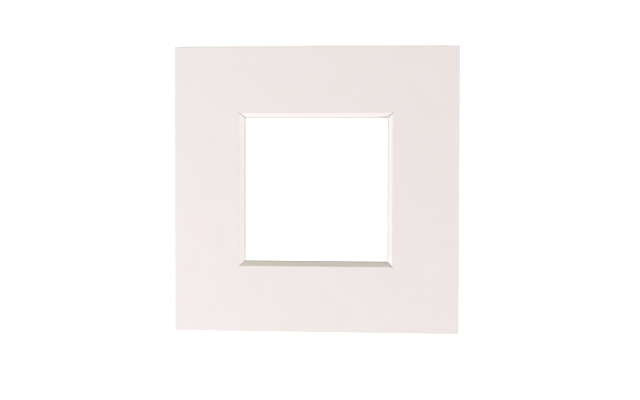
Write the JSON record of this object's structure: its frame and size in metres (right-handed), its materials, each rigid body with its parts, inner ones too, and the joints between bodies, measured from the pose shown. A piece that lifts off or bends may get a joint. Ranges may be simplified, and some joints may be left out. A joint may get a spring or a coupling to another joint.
{
  "type": "picture mount",
  "caption": "Flat square of thick off-white mountboard with a square bevel-cut window in the middle, which frames a picture and holds it off the glass.",
  "frame": {"origin": "centre of the board's back face, in the middle of the window", "axes": "+Z out of the face towards the viewer, +Y towards the top edge, +X towards the right edge as seen from the front"},
  "size_m": [0.1524, 0.1524, 0.0028],
  "materials": {
    "mountboard": "matte"
  },
  "bodies": {
    "root": {"mount_board": "mountboard"}
  },
  "joints": []
}
